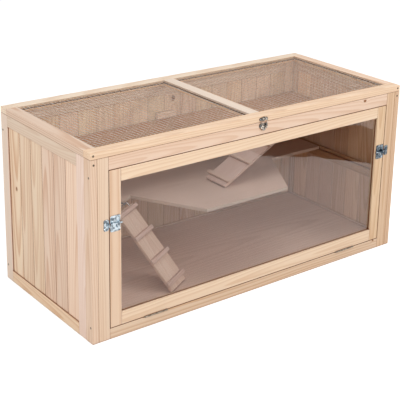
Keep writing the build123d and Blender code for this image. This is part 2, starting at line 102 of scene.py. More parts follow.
def mixColour(tree, share, first, second, mode="MIX"):
    node = tree.nodes.new("ShaderNodeMix")
    node.data_type = "RGBA"
    node.blend_type = mode
    plug(tree, node.inputs[0], share)
    plug(tree, node.inputs[6], first)
    plug(tree, node.inputs[7], second)
    return node.outputs[2]


def paint(red, green, blue):  # screen colour to linear light
    channel = [c / 255 for c in (red, green, blue)]
    return [c / 12.92 if c < 0.04045 else ((c + 0.055) / 1.055) ** 2.4 for c in channel] + [1.0]


def openGroup(name, inputs, outputs):
    group = bpy.data.node_groups.new(name, "ShaderNodeTree")
    for label, kind, value in inputs:
        item = group.interface.new_socket(label, in_out="INPUT", socket_type="NodeSocket" + kind)
        item.default_value = value
    for label, kind in outputs:
        group.interface.new_socket(label, in_out="OUTPUT", socket_type="NodeSocket" + kind)
    return group, group.nodes.new("NodeGroupInput").outputs, group.nodes.new("NodeGroupOutput").inputs


def newMaterial(name):
    material = bpy.data.materials.new(name)
    material.use_nodes = True
    return material, material.node_tree, material.node_tree.nodes["Principled BSDF"]


def placeGroup(tree, group, **values):
    node = tree.nodes.new("ShaderNodeGroup")
    node.node_tree = group
    for label, value in values.items():
        plug(tree, node.inputs[label.replace("_", " ")], value)
    return node.outputs


def bumpOnto(tree, shader, height, strength, distance):
    bump = tree.nodes.new("ShaderNodeBump")
    bump.inputs["Strength"].default_value = strength
    bump.inputs["Distance"].default_value = distance
    plug(tree, bump.inputs["Height"], height)
    plug(tree, shader.inputs["Normal"], bump.outputs[0])


# camera at the photograph's angle

cameraSet = {
    "place": (-1.8715, -2.4073, 1.4541),
    "azimuth": -37.35,
    "elevation": 17.35,
    "roll": 1.04,
    "lens": 93.82,
    "shiftY": -0.225,
    "clipEnd": 50,
}


def makeCamera():
    turn, tilt, roll = (math.radians(cameraSet[key]) for key in ("azimuth", "elevation", "roll"))
    back = Vector((math.sin(turn) * math.cos(tilt), -math.cos(turn) * math.cos(tilt), math.sin(tilt)))
    right = Vector((0, 0, 1)).cross(back).normalized()
    up = back.cross(right)
    rows = (right * math.cos(roll) + up * math.sin(roll), up * math.cos(roll) - right * math.sin(roll), back)
    data = bpy.data.cameras.new("photoCamera")
    data.lens = cameraSet["lens"]
    data.shift_y = cameraSet["shiftY"]
    data.clip_end = cameraSet["clipEnd"]
    camera = bpy.data.objects.new("photoCamera", data)
    camera.matrix_world = Matrix.Translation(cameraSet["place"]) @ Matrix(rows).transposed().to_4x4()
    scene.collection.objects.link(camera)
    scene.camera = camera


makeCamera()


# white studio: floor, sky and four soft lamps

studioSet = {
    "floorHalf": 7.0,
    "floorDrop": 0.0005,
    "floorColour": 0.74,
    "paperRough": 0.9,
    "floorGlow": 0.62,  # only what the camera and mirrors see
    "glowFade": (-1.2, -0.85, 0.2),  # mirrors see the floor darker away from the cage
    "glowSide": (-0.1, 0.25, 0.5),  # and to its left
    "sky": 0.52,
    "cardLift": 0.002,
    "cardColour": (0.02, 0.018, 0.016, 1.0),
    "darkCard": [
        (0.78, -1.125), (0.83, -1.08), (0.92, -1.01), (0.95, -1.01), (0.965, -0.965), (1.085, -0.81),
        (1.40, -0.81), (1.41, -1.11), (1.41, -1.185), (1.35, -1.215), (1.35, -1.35), (0.78, -1.35),
    ],
    "lampAim": (0, 0, 0.25),
    "lamps": {
        "keyLamp": {"place": (-0.9, -2.2, 1.5), "size": 1.2, "watts": 15.5, "colour": (1.0, 0.97, 0.92)},
        "rightLamp": {"place": (2.0, -2.4, 2.0), "size": 0.5, "watts": 26, "colour": (1.0, 0.97, 0.93)},
        "sideLamp": {"place": (-2.3, -0.1, 1.1), "size": 1.4, "watts": 11, "colour": (1.0, 0.97, 0.93)},
        "topLamp": {"place": (0.3, -0.2, 2.9), "size": 1.5, "watts": 13, "colour": (1.0, 1.0, 1.0)},
    },
}


def seenDirectly(tree):
    path = tree.nodes.new("ShaderNodeLightPath").outputs
    mirror = calc(tree, "MAXIMUM", path["Is Glossy Ray"], path["Is Transmission Ray"])
    fresh = calc(tree, "LESS_THAN", path["Diffuse Depth"], 0.5)  # not light on its way off the timber
    return calc(tree, "MAXIMUM", path["Is Camera Ray"], calc(tree, "MULTIPLY", mirror, fresh))


def makeStudio():
    half = studioSet["floorHalf"]
    mesh = bpy.data.meshes.new("studioFloor")
    corners = [(-half, -half), (half, -half), (half, half), (-half, half)]
    mesh.from_pydata([(x, y, -studioSet["floorDrop"]) for x, y in corners], [], [(0, 1, 2, 3)])
    floor = bpy.data.objects.new("studioFloor", mesh)
    scene.collection.objects.link(floor)
    material, tree, shader = newMaterial("studioPaper")
    shader.inputs["Base Color"].default_value = [studioSet["floorColour"]] * 3 + [1.0]
    shader.inputs["Roughness"].default_value = studioSet["paperRough"]
    shader.inputs["Specular IOR Level"].default_value = 0.0
    shader.inputs["Emission Color"].default_value = (1, 1, 1, 1)
    spot = split(tree, tree.nodes.new("ShaderNodeTexCoord").outputs["Object"])
    fades = []
    for place, (low, high, least) in ((spot[0], studioSet["glowSide"]), (spot[1], studioSet["glowFade"])):
        fades.append(spread(tree, place, low, high, least, 1.0))
    fade = calc(tree, "MULTIPLY", *fades)
    fade = calc(tree, "MAXIMUM", fade, tree.nodes.new("ShaderNodeLightPath").outputs["Is Camera Ray"])
    glow = calc(tree, "MULTIPLY", seenDirectly(tree), studioSet["floorGlow"])
    plug(tree, shader.inputs["Emission Strength"], calc(tree, "MULTIPLY", glow, fade))
    mesh.materials.append(material)

    # a dark card on the floor, seen only in the pane, which clears a corner of it
    mesh = bpy.data.meshes.new("studioCard")
    card = bpy.data.objects.new("studioCard", mesh)
    outline = [(x, y, studioSet["cardLift"]) for x, y in studioSet["darkCard"]]
    mesh.from_pydata(outline, [], [range(len(outline))])
    scene.collection.objects.link(card)
    material, tree, shader = newMaterial("cardBlack")
    shader.inputs["Base Color"].default_value = studioSet["cardColour"]
    shader.inputs["Roughness"].default_value = studioSet["paperRough"]
    shader.inputs["Specular IOR Level"].default_value = 0.0
    mesh.materials.append(material)
    for sight in ("camera", "diffuse", "volume_scatter", "shadow"):
        setattr(card, "visible_" + sight, False)

    world = bpy.data.worlds.new("studioSky")
    world.use_nodes = True
    scene.world = world
    tree = world.node_tree
    back = tree.nodes["Background"]
    back.inputs["Color"].default_value = (1, 1, 1, 1)
    sky = studioSet["sky"]
    strength = calc(tree, "MULTIPLY_ADD", seenDirectly(tree), 1.0 - sky, sky)
    plug(tree, back.inputs["Strength"], strength)

    aim = Vector(studioSet["lampAim"])
    for name, lamp in studioSet["lamps"].items():
        data = bpy.data.lights.new(name, "AREA")
        data.shape = "DISK"
        data.size = lamp["size"]
        data.energy = lamp["watts"]
        data.color = lamp["colour"]
        place = Vector(lamp["place"])
        light = bpy.data.objects.new(name, data)
        turn = (place - aim).to_track_quat("Z", "Y").to_matrix().to_4x4()
        light.matrix_world = Matrix.Translation(place) @ turn
        scene.collection.objects.link(light)


makeStudio()
print("camera and studio made")


# pine: rings round a pith, fibres, streaks, a knot and painted shade in the seams

pineSet = {
    "light": paint(249, 231, 212),
    "dark": paint(214, 172, 134),
    "pinkTone": paint(250, 239, 236),
    "knotDark": paint(112, 70, 44),
    "knotLight": paint(178, 126, 84),
    "honeyTone": paint(255, 248, 236),
    # colour of the shade painted into seams and corners
    "crevice": paint(148, 88, 44),
    "creviceReach": 0.006,
    "creviceSamples": 8,
    "ringWidth": 0.0062,
    "contrast": 0.46,
    "sheen": 0.2,
    "bump": 0.3,
    "grainDepth": 0.0005,
}
figureSet = {
    "scale": {  # of the noise along, across and into the grain
        "wander": (1.3, 2.0, 2.0),
        "wobble": (4.0, 22.0, 22.0),
        "bands": (1.1, 26.0, 26.0),
        "streak": (0.8, 90.0, 90.0),
        "fibre": (20.0, 480.0, 480.0),
    },
    "fineDetail": 3.0,
    "treeGap": 9.0,  # how far apart two trees lie in the noise
    "pithAside": 0.05,
    "pithWander": 0.05,
    "pithDeep": (0.035, 0.016),  # by luck, and at least
    "pithLean": 0.09,
    "ringWobble": 0.005,
    "lateRise": (0.3, 0.88),  # where in a ring the dark late wood lies
    "lateFall": (1.0, 0.9),
    "streakEdge": (0.6, 0.75),
    "shade": {"bands": 1.3, "base": 0.28, "late": 0.85, "streak": 0.14, "fibre": 0.08},
    "bold": (0.8, 0.6),  # some trees show more figure than others
    "grey": (0.16, 0.9),
    "knotStretch": (0.7, 1.0, 0.0),
    "knotReach": 2.0,  # shares of the knot's size
    "knotPush": 1.4,
    "knotEdge": (1.15, 0.7),
    "knotRing": 0.0022,
    "seamEdge": (0.92, 0.45),
    "rough": {"fibre": 0.16, "base": 0.5, "late": -0.08},
    "lateHeight": 0.6,
}


def makePineFigure():
    group, take, give = openGroup(
        "pineFigure",
        [
            ("Grain", "Vector", (0, 0, 0)),  # along, across and into the piece
            ("Place", "Vector", (0, 0, 0)),  # the same on the whole panel, for its knot
            ("Seed", "Float", 0.0),
            ("Ring Width", "Float", pineSet["ringWidth"]),
            ("Contrast", "Float", pineSet["contrast"]),
            ("Knot Place", "Vector", (9, 9, 0)),
            ("Knot Size", "Float", 0.001),
            ("Light", "Color", pineSet["light"]),
            ("Dark", "Color", pineSet["dark"]),
            ("Open", "Float", 1.0),  # how much open air the surface sees
            ("Seam", "Float", 1.0),  # how strongly shade is painted into its seams
        ],
        [("Color", "Color"), ("Roughness", "Float"), ("Height", "Float")],
    )
    luckNode = group.nodes.new("ShaderNodeTexWhiteNoise")
    luckNode.noise_dimensions = "1D"
    plug(group, luckNode.inputs["W"], take["Seed"])
    luck = luckNode.outputs["Color"]
    luckX, luckY, luckZ = split(group, luck)
    along, across, into = split(group, take["Grain"])
    moved = vec(group, "ADD", take["Grain"], vec(group, "SCALE", luck, figureSet["treeGap"]))
    stretch, shares, roughs = (figureSet[key] for key in ("knotStretch", "shade", "rough"))

    def figure(name, detail=2.0):
        return noise(group, vec(group, "MULTIPLY", moved, figureSet["scale"][name]), detail)

    def centred(value, size):
        return calc(group, "MULTIPLY_ADD", value, size, -0.5 * size)

    # distance from a wandering pith, pushed aside round the knot
    side = calc(group, "ADD", across, centred(luckX, figureSet["pithAside"]))
    side = calc(group, "ADD", side, centred(figure("wander"), figureSet["pithWander"]))
    deep = calc(group, "MULTIPLY_ADD", luckY, *figureSet["pithDeep"])
    deep = calc(group, "ADD", deep, into)
    deep = calc(group, "MULTIPLY_ADD", along, centred(luckZ, figureSet["pithLean"]), deep)
    toKnot = vec(group, "MULTIPLY", vec(group, "SUBTRACT", take["Place"], take["Knot Place"]), stretch)
    knotGap = vec(group, "LENGTH", toKnot, (0, 0, 0))
    near = calc(group, "DIVIDE", knotGap, calc(group, "MULTIPLY", take["Knot Size"], figureSet["knotReach"]))
    near = calc(group, "EXPONENT", calc(group, "MULTIPLY", calc(group, "MULTIPLY", near, near), -1.0))
    push = calc(group, "MULTIPLY", near, calc(group, "MULTIPLY", take["Knot Size"], figureSet["knotPush"]))
    radius = calc(group, "MULTIPLY_ADD", side, side, calc(group, "MULTIPLY", deep, deep))
    radius = calc(group, "SQRT", radius)
    radius = calc(group, "ADD", radius, centred(figure("wobble"), figureSet["ringWobble"]))
    radius = calc(group, "ADD", radius, push)
    ring = calc(group, "FRACT", calc(group, "DIVIDE", radius, take["Ring Width"]))
    rise, fall = (spread(group, ring, *figureSet[key]) for key in ("lateRise", "lateFall"))
    late = calc(group, "MULTIPLY", rise, fall)

    # broad bands, thin resin streaks and fibres
    bands = figure("bands", figureSet["fineDetail"])
    streak = spread(group, figure("streak"), *figureSet["streakEdge"])
    fibre = figure("fibre", figureSet["fineDetail"])
    shade = calc(group, "MULTIPLY_ADD", centred(bands, 1.0), shares["bands"], shares["base"])
    shade = calc(group, "MULTIPLY_ADD", late, shares["late"], shade)
    bold = calc(group, "MULTIPLY_ADD", luckY, *figureSet["bold"])
    shade = calc(group, "MULTIPLY", shade, calc(group, "MULTIPLY", take["Contrast"], bold))
    shade = calc(group, "MULTIPLY_ADD", streak, shares["streak"], shade)
    shade = calc(group, "ADD", shade, centred(fibre, shares["fibre"]))
    colour = mixColour(group, spread(group, shade, 0.0, 1.0, smooth=False), take["Light"], take["Dark"])
    tint = mixColour(group, luckZ, pineSet["honeyTone"], pineSet["pinkTone"])
    colour = mixColour(group, 1.0, colour, tint, "MULTIPLY")
    grey = calc(group, "MULTIPLY_ADD", luckX, *figureSet["grey"])
    colour = mixColour(group, 1.0, colour, join(group, grey, grey, grey), "MULTIPLY")

    knotRing = calc(group, "FRACT", calc(group, "DIVIDE", knotGap, figureSet["knotRing"]))
    knotColour = mixColour(group, knotRing, pineSet["knotLight"], pineSet["knotDark"])
    inKnot = spread(group, calc(group, "DIVIDE", knotGap, take["Knot Size"]), *figureSet["knotEdge"])
    colour = mixColour(group, inKnot, colour, knotColour)
    # painted shade: where the surface sees little open air, its colour is darkened towards the crevice colour
    shut = calc(group, "MULTIPLY", spread(group, take["Open"], *figureSet["seamEdge"]), take["Seam"])
    seamShaded = mixColour(group, 1.0, colour, pineSet["crevice"], "MULTIPLY")
    colour = mixColour(group, shut, colour, seamShaded)

    plug(group, give["Color"], colour)
    rough = calc(group, "MULTIPLY_ADD", fibre, roughs["fibre"], roughs["base"])
    plug(group, give["Roughness"], calc(group, "MULTIPLY_ADD", late, roughs["late"], rough))
    plug(group, give["Height"], calc(group, "MULTIPLY_ADD", late, figureSet["lateHeight"], fibre))
    return group


pineFigure = makePineFigure()
boardHousing = 0.007  # how far the outer boards go into the frame


def grainOrder(grain, box):
    low, high = box
    along = "XYZ".index(grain)
    return [along] + sorted((i for i in range(3) if i != along), key=lambda i: low[i] - high[i])


def pineFinish(name, grain, seed, box, pitch=0.0, turn=None, bump=pineSet["bump"], **figure):
    material, tree, shader = newMaterial(name)
    low, high = box
    middle = (low + high) / 2
    coords = tree.nodes.new("ShaderNodeTexCoord").outputs["Object"]
    local = vec(tree, "SUBTRACT", coords, tuple(middle))
    if turn:  # a sloped piece: its own axes take the place of X, Y and Z
        dots = []
        for axis in turn:
            node = tree.nodes.new("ShaderNodeVectorMath")
            node.operation = "DOT_PRODUCT"
            plug(tree, node.inputs[0], local)
            node.inputs[1].default_value = axis
            dots.append(node.outputs["Value"])
        along, across, into = dots
    else:
        parts = split(tree, local)
        along, across, into = (parts[i] for i in grainOrder(grain, box))
    place = join(tree, along, across, 0.0)
    number = seed
    if pitch:  # each board of a panel is a tree of its own
        index = calc(tree, "FLOOR", calc(tree, "DIVIDE", across, pitch))
        across = calc(tree, "SUBTRACT", across, calc(tree, "MULTIPLY_ADD", index, pitch, pitch / 2))
        number = calc(tree, "ADD", index, seed)
    air = tree.nodes.new("ShaderNodeAmbientOcclusion")  # painted shade in seams and corners, where a spot sees little open air
    air.samples = pineSet["creviceSamples"]
    air.inputs["Distance"].default_value = pineSet["creviceReach"]
    figure["Open"] = air.outputs["AO"]
    grainSpot = join(tree, along, across, into)
    out = placeGroup(tree, pineFigure, Grain=grainSpot, Place=place, Seed=number, **figure)
    plug(tree, shader.inputs["Base Color"], out["Color"])
    plug(tree, shader.inputs["Roughness"], out["Roughness"])
    shader.inputs["Specular IOR Level"].default_value = pineSet["sheen"]
    bumpOnto(tree, shader, out["Height"], bump, pineSet["grainDepth"])
    return material


def finishNode(name, material):
    cadNodes[name].material_slots[0].material = material


timberSet = {
    "X": [
        "back_top_rail", "back_bottom_rail", "front_top_rail", "front_bottom_rail", "door_stop",
        "door_top_rail", "door_bottom_rail", "lid_front_rail", "lid_back_rail", "deck_stop_block",
        "floor_battens",
    ],
    "Y": [
        "left_top_rail", "left_bottom_rail", "right_top_rail", "right_bottom_rail",
        "lid_left_rail", "lid_right_rail", "deck_ledgers", "lid_net_beads", "lid_middle_bar",
    ],
    "Z": [
        "left_corner_post", "right_corner_post", "left_door_post", "right_door_post",
        "left_front_stile", "left_back_stile", "right_front_stile", "right_back_stile",
        "back_left_stile", "back_right_stile", "door_left_stile", "door_right_stile",
    ],
}
# pine tones for single pieces: shadedTan is painted shade on the pieces at the right, where less light falls,
# and white is painted light on the lid's middle bar, whose sides get little light
toneSet = {
    "pale": {"Light": paint(250, 237, 226), "Dark": paint(226, 196, 170), "Contrast": 0.36},
    "white": {"Light": paint(255, 246, 236), "Dark": paint(238, 214, 190), "Contrast": 0.36, "Seam": 0.1},
    "amber": {"Light": paint(252, 222, 180), "Dark": paint(222, 174, 124), "Seam": 0.1},
    "brown": {"Light": paint(222, 186, 150), "Dark": paint(190, 148, 110)},
    "honey": {"Light": paint(251, 232, 206), "Dark": paint(214, 170, 126), "Contrast": 0.5},
    "plain": {"Light": paint(244, 226, 207), "Contrast": 0.34},
    "shadedTan": {"Light": paint(238, 215, 189), "Dark": paint(206, 164, 126), "Contrast": 0.5},
    "rose": {"Light": paint(242, 227, 215), "Dark": paint(214, 178, 152), "Contrast": 0.5},
}
toneOf = {
    "pale": ["left_front_stile", "left_back_stile", "lid_back_rail"],
    # painted light on the lid's middle bar
    "white": ["lid_middle_bar"],
    "amber": ["lid_net_beads"],
    "brown": ["deck_ledgers"],
    "rose": ["lid_left_rail", "left_top_rail"],
    "honey": ["lid_front_rail"],
    # painted shade on the right-hand pieces
    "shadedTan": ["door_right_stile", "right_door_post", "right_corner_post"],
    "plain": ["front_top_rail", "door_top_rail"],
}
# pieces with fainter painted shade in their seams
faintSeams = [
    "lid_left_rail", "left_top_rail", "left_front_stile", "back_bottom_rail", "right_bottom_rail",
    "back_left_stile", "back_right_stile", "right_front_stile", "right_back_stile",
    "lid_back_rail", "lid_right_rail",
]
faintSeam = 0.35
knotSet = {
    "front_top_rail": {"at": (0.420, 0.523), "size": 0.0045},
    "front_bottom_rail": {"at": (0.500, 0.0295), "size": 0.0028},
    "left_boards": {"at": (0.314, 0.174), "size": 0.0045},
    "back_boards": {"at": (0.476, 0.035), "size": 0.007},
}
boardSet = {
    "left_boards": {
        "count": 6, "seed": 40.0,
        "look": {
            "Light": paint(253, 237, 219), "Dark": paint(214, 168, 132), "Contrast": 0.5,
            "Ring_Width": 0.008, "Seam": 2.0,
        },
    },
    "right_boards": {
        "count": 6, "seed": 60.0,
        "look": {"Light": paint(255, 228, 203), "Dark": paint(218, 174, 136), "Seam": 0.4},
    },
    "back_boards": {"count": 16, "seed": 80.0, "look": {"Light": paint(249, 228, 203), "Seam": 0.4}},
}


def timberLook(name, grain):
    look = {}
    for tone, names in toneOf.items():
        if name in names:
            look.update(toneSet[tone])
    if name in faintSeams:
        look["Seam"] = faintSeam
    if name in knotSet:  # along and across the grain, from the middle of the piece
        along, across, _ = grainOrder(grain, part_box(name))
        middle = sum(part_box(name), Vector()) / 2
        at = knotSet[name]["at"]
        look["Knot_Place"] = (at[0] - middle[along], at[1] - middle[across], 0.0)
        look["Knot_Size"] = knotSet[name]["size"]
    return look


def finishTimber():
    seed = 1.0
    for grain, names in timberSet.items():
        for name in names:
            look = timberLook(name, grain)
            finishNode(name, pineFinish(name + "Pine", grain, seed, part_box(name), **look))
            seed += 1.0
    for name, board in boardSet.items():
        look = {**board["look"], **timberLook(name, "Z")}
        low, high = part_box(name)
        across = grainOrder("Z", (low, high))[1]
        pitch = (high[across] - low[across] - 2 * boardHousing) / board["count"]
        finishNode(name, pineFinish(name + "Pine", "Z", board["seed"], (low, high), pitch=pitch, **look))


finishTimber()


# ramps: the grain runs down the slope

rampSet = {
    "lower_ramp": {"heading": -60.0, "slope": 50.0, "seed": 120.0},
    "upper_ramp": {"heading": 180.0, "slope": 28.2, "seed": 124.0},
}
rampLook = {"Light": paint(255, 236, 226), "Dark": paint(230, 190, 168), "Contrast": 0.4, "Seam": 0.6}


def rampAxes(ramp):
    heading, slope = math.radians(ramp["heading"]), math.radians(ramp["slope"])
    down = (math.cos(heading) * math.cos(slope), math.sin(heading) * math.cos(slope), -math.sin(slope))
    across = (-math.sin(heading), math.cos(heading), 0.0)
    return Vector(down), Vector(across), Vector(down).cross(Vector(across))


def finishRamps():
    for name, ramp in rampSet.items():
        down, across, square = rampAxes(ramp)
        plank, cleats = name + "_plank", name + "_cleats"
        axes = (tuple(down), tuple(across), tuple(square))
        finishNode(plank, pineFinish(plank + "Pine", "X", ramp["seed"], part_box(plank), turn=axes, **rampLook))
        axes = (tuple(across), tuple(down), tuple(square))
        seed = ramp["seed"] + 1
        finishNode(cleats, pineFinish(cleats + "Pine", "X", seed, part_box(cleats), turn=axes, **rampLook))


finishRamps()

# decks and floor: smooth veneered board
plySet = {
    "floor_panel": {"seed": 131.0, "look": {"Light": paint(252, 232, 216)}},
    "lower_deck": {"seed": 132.0, "look": {"Light": paint(251, 231, 215), "Dark": paint(228, 196, 174)}},
    # painted shade: the upper deck and its edges are painted darker and browner than the other boards, standing
    # in for the shade it lies in under the lid
    "upper_deck": {
        "seed": 133.0, "look": {"Light": paint(188, 146, 112), "Dark": paint(156, 114, 84)},
        "edge": (paint(170, 130, 100), paint(146, 106, 80)),
    },
}
plyLook = {
    "Ring_Width": 0.012,
    "Contrast": 0.28,
    "Light": paint(244, 220, 202),
    "Dark": paint(220, 186, 162),
    "Seam": 0.4,
}
plyCore = {
    "layers": 5,
    "edge": (paint(246, 228, 212), paint(224, 196, 174)),  # pale and dark layers
    "layerBlend": (0.35, 0.65),
    "edgeBlend": (0.4, 0.6),  # from an upright edge to a level face
    "bump": 0.15,
}


def finishPly():
    for name, ply in plySet.items():
        low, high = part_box(name)
        look = {**plyLook, **ply["look"]}
        material = pineFinish(name + "Veneer", "X", ply["seed"], (low, high), bump=plyCore["bump"], **look)
        tree = material.node_tree
        paintSocket = tree.nodes["Principled BSDF"].inputs["Base Color"]
        veneer = paintSocket.links[0].from_socket
        height = split(tree, tree.nodes.new("ShaderNodeTexCoord").outputs["Object"])[2]
        perMetre = plyCore["layers"] / (high.z - low.z)
        layer = calc(tree, "MULTIPLY", calc(tree, "SUBTRACT", height, low.z), perMetre)
        band = calc(tree, "PINGPONG", layer, 1.0)
        edge = ply.get("edge", plyCore["edge"])
        core = mixColour(tree, spread(tree, band, *plyCore["layerBlend"]), *edge)
        normal = tree.nodes.new("ShaderNodeNewGeometry").outputs["True Normal"]
        level = calc(tree, "ABSOLUTE", split(tree, normal)[2])
        plug(tree, paintSocket, mixColour(tree, spread(tree, level, *plyCore["edgeBlend"]), core, veneer))
        finishNode(name, material)


finishPly()
print("timber finished")


# zinc, nickel and wire share a mottled plating

platingSet = {
    "cloudScale": 0.6,  # in cells
    "cloudDetail": 4.0,
    "scratchScale": (0.5, 9.0, 9.0),
    "cloud": 0.8,
    "spangle": 0.35,
    "dullEdge": (0.3, 0.85),
    "rough": 0.22,
    "scratchHeight": 0.4,
    "bump": 0.2,
    "depth": 0.0003,
    "specular": 0.5,
}


def makePlating():
    group, take, give = openGroup(
        "mottledPlating",
        [
            ("Place", "Vector", (0, 0, 0)),
            ("Cell", "Float", 0.004),
            ("Bright", "Color", paint(214, 226, 234)),
            ("Dull", "Color", paint(150, 166, 178)),
            ("Polish", "Float", 0.3),
            ("Dulling", "Float", 0.0),  # shifts the mottling from bright to dull
        ],
        [("Color", "Color"), ("Roughness", "Float"), ("Height", "Float")],
    )
    cells = group.nodes.new("ShaderNodeTexVoronoi")
    cells.inputs["Scale"].default_value = 1.0
    near = vec(group, "SCALE", take["Place"], calc(group, "DIVIDE", 1.0, take["Cell"]))
    plug(group, cells.inputs["Vector"], near)
    spangle = split(group, cells.outputs["Color"])[0]
    cloud = noise(group, vec(group, "SCALE", near, platingSet["cloudScale"]), platingSet["cloudDetail"])
    scratch = noise(group, vec(group, "MULTIPLY", near, platingSet["scratchScale"]))
    flakes = calc(group, "MULTIPLY", spangle, platingSet["spangle"])
    share = calc(group, "MULTIPLY_ADD", cloud, platingSet["cloud"], flakes)
    share = calc(group, "ADD", share, take["Dulling"])
    dulled = spread(group, share, *platingSet["dullEdge"])
    colour = mixColour(group, dulled, take["Bright"], take["Dull"])
    plug(group, give["Color"], colour)
    plug(group, give["Roughness"], calc(group, "MULTIPLY_ADD", share, platingSet["rough"], take["Polish"]))
    plug(group, give["Height"], calc(group, "MULTIPLY_ADD", scratch, platingSet["scratchHeight"], cloud))
    return group


mottledPlating = makePlating()
metalSet = {
    "zincPlate": {"Cell": 0.006, "Bright": paint(224, 236, 244), "Dull": paint(62, 78, 92), "Polish": 0.15},
    "nickelPlate": {"Cell": 0.007, "Bright": paint(224, 216, 206), "Dull": paint(72, 62, 54), "Polish": 0.18},
    "netWire": {"Cell": 0.003, "Bright": paint(229, 224, 217), "Dull": paint(182, 176, 168), "Polish": 0.42},
    # dark brown and not metallic: the wire that stands in for the shadow gap under the lid frame, painted
    # shadow
    "shadowGapWire": {"Cell": 0.004, "Bright": paint(112, 62, 20), "Dull": paint(84, 44, 12), "Polish": 0.6},
    "hingeSteel": {"Cell": 0.004, "Bright": paint(176, 164, 150), "Dull": paint(112, 100, 88), "Polish": 0.4},
    # dark steel, darkened further as painted shade of the recess each timber screw head sits in
    "screwSteel": {"Cell": 0.002, "Bright": paint(128, 112, 96), "Dull": paint(64, 54, 46), "Polish": 0.35},
}
shadowStandIns = ["shadowGapWire"]  # the wire standing in for a shadow gap shows no bare metal
zincDulling = {"reach": 0.5, "left": -0.07, "right": 0.09}  # the mottling is duller on the right bolt and brighter on the left


def metalFinish(name):
    material, tree, shader = newMaterial(name)
    coords = tree.nodes.new("ShaderNodeTexCoord").outputs["Object"]
    look = dict(metalSet[name])
    if name == "zincPlate":
        reach, aside = zincDulling["reach"], split(tree, coords)[0]
        look["Dulling"] = spread(tree, aside, -reach, reach, zincDulling["left"], zincDulling["right"])
    out = placeGroup(tree, mottledPlating, Place=coords, **look)
    plug(tree, shader.inputs["Base Color"], out["Color"])
    plug(tree, shader.inputs["Roughness"], out["Roughness"])
    bare = 0.0 if name in shadowStandIns else 1.0
    shader.inputs["Metallic"].default_value = bare
    shader.inputs["Specular IOR Level"].default_value = platingSet["specular"] * bare
    bumpOnto(tree, shader, out["Height"], platingSet["bump"], platingSet["depth"])
    return material


metals = {name: metalFinish(name) for name in metalSet}
hardwareSet = {
    "zincPlate": [
        "bolt_plates", "bolt_keepers", "left_bolt", "right_bolt",
        "ramp_eyes", "lower_ramp_wire", "upper_ramp_wire",
    ],
    "hingeSteel": ["hinge_fixed_leaves", "hinge_pins", "door_hinge_leaves", "lid_hinge_leaves"],
    "nickelPlate": ["clasp_base", "clasp_lever", "clasp_loop", "clasp_strike"],
    "netWire": ["lid_left_net", "lid_right_net"],
}
for metalName, hardware in hardwareSet.items():
    for nodeName in hardware:
        finishNode(nodeName, metals[metalName])


# clear pane of the door

paneSet = {
    "tint": paint(225, 222, 222),
    "shade": (0.49, 0.49, 0.49, 1.0),  # how much light comes through it
    "ior": 1.49,
    "smear": 0.04,
    "smearEdge": (0.45, 0.8),
    "smearScale": (7.0, 7.0, 11.0),
    "smearDetail": 4.0,
}


def finishPane():
    material, tree, shader = newMaterial("clearAcrylic")
    coords = tree.nodes.new("ShaderNodeTexCoord").outputs["Object"]
    cloud = noise(tree, vec(tree, "MULTIPLY", coords, paneSet["smearScale"]), paneSet["smearDetail"])
    smear = spread(tree, cloud, *paneSet["smearEdge"], 0.0, paneSet["smear"])
    shader.inputs["Base Color"].default_value = paneSet["tint"]
    shader.inputs["IOR"].default_value = paneSet["ior"]
    shader.inputs["Transmission Weight"].default_value = 1.0
    plug(tree, shader.inputs["Roughness"], smear)
    through = tree.nodes.new("ShaderNodeBsdfTransparent")
    through.inputs["Color"].default_value = paneSet["shade"]
    mix = tree.nodes.new("ShaderNodeMixShader")
    plug(tree, mix.inputs[0], tree.nodes.new("ShaderNodeLightPath").outputs["Is Shadow Ray"])
    plug(tree, mix.inputs[1], shader.outputs[0])
    plug(tree, mix.inputs[2], through.outputs[0])
    plug(tree, tree.nodes["Material Output"].inputs["Surface"], mix.outputs[0])
    finishNode("door_pane", material)


finishPane()
print("hardware and pane finished")


# geometry node trees: builder, evaluation, hand-over to a body

def openTree(name, inputs):
    tree = bpy.data.node_groups.new(name, "GeometryNodeTree")
    tree.interface.new_socket("Geometry", in_out="INPUT", socket_type="NodeSocketGeometry")
    keys = {}
    for label, kind in inputs:
        item = tree.interface.new_socket(label, in_out="INPUT", socket_type="NodeSocket" + kind)
        keys[label] = item.identifier
    tree.interface.new_socket("Geometry", in_out="OUTPUT", socket_type="NodeSocketGeometry")
    take = tree.nodes.new("NodeGroupInput").outputs
    give = tree.nodes.new("NodeGroupOutput").inputs
    return tree, keys, take, give


def step(tree, kind, **values):
    node = tree.nodes.new(kind)
    for label, value in values.items():
        plug(tree, node.inputs[label.replace("_", " ")], value)
    return node


def closeTree(tree, geometry, give):
    whole = step(tree, "GeometryNodeRealizeInstances", Geometry=geometry).outputs[0]
    smooth = step(tree, "GeometryNodeSetShadeSmooth", Geometry=whole).outputs[0]
    painted = step(tree, "GeometryNodeSetMaterial", Geometry=smooth)
    plug(tree, give[0], painted.outputs[0])
    return painted.inputs["Material"]


def settle(name, seedMesh, tree, keys, values):
    piece = bpy.data.objects.new(name, seedMesh)
    scene.collection.objects.link(piece)
    modifier = piece.modifiers.new("build", "NODES")
    modifier.node_group = tree
    for label, value in values.items():
        modifier[keys[label]] = value
    graph = bpy.context.evaluated_depsgraph_get()
    mesh = bpy.data.meshes.new_from_object(piece.evaluated_get(graph), depsgraph=graph)
    mesh.name = name
    piece.modifiers.remove(modifier)
    piece.data = mesh
    return piece


# woven nets in the lid

netSet = {
    "pitch": 0.0127,
    "wire": 0.0005,
    "sides": 6,
    "inset": 0.0004,
    "shadowWirePitch": 0.4,
    "shadowWire": 0.0018,
    "shadowWireDrop": Vector((0, 0, 0.005)),  # how far the dark wire standing in for the shadow gap hangs below the net
}


